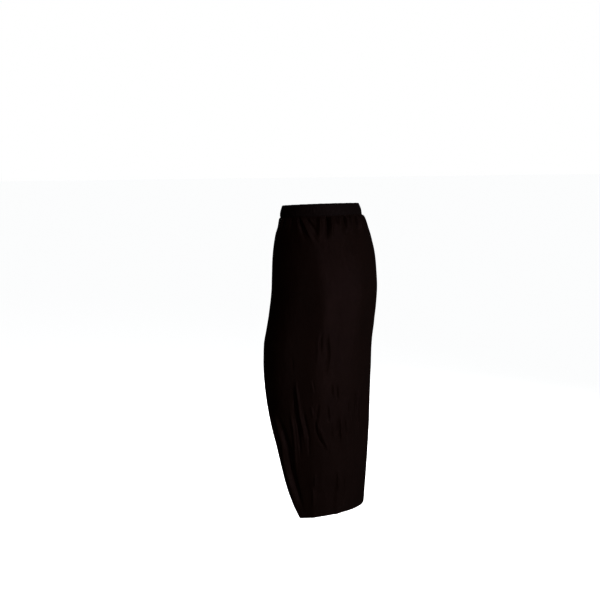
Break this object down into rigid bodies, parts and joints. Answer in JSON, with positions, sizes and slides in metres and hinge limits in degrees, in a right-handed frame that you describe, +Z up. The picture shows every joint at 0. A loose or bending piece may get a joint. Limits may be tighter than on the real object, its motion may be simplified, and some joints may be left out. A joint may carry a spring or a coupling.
{
  "type": "maxi skirt",
  "caption": "Narrow ankle-length jersey skirt with a gathered elastic waistband and a high side slit, in worn form, open and hollow.",
  "frame": {"origin": "centre of the waistband's top opening, where the wearer's waist holds the skirt", "axes": "+Z up out of the waist; the wearer faces -Y; +X is the wearer's left, where the slit is"},
  "size_m": [0.3427, 0.2657, 0.9178],
  "materials": {
    "waistband_jersey": "matt black knit, gathered on elastic",
    "skirt_jersey": "matt black fine knit with a faint warm cast and a soft sheen"
  },
  "bodies": {
    "root": {"waistband": "waistband_jersey", "back_panel": "skirt_jersey", "front_panel": "skirt_jersey"}
  },
  "joints": []
}
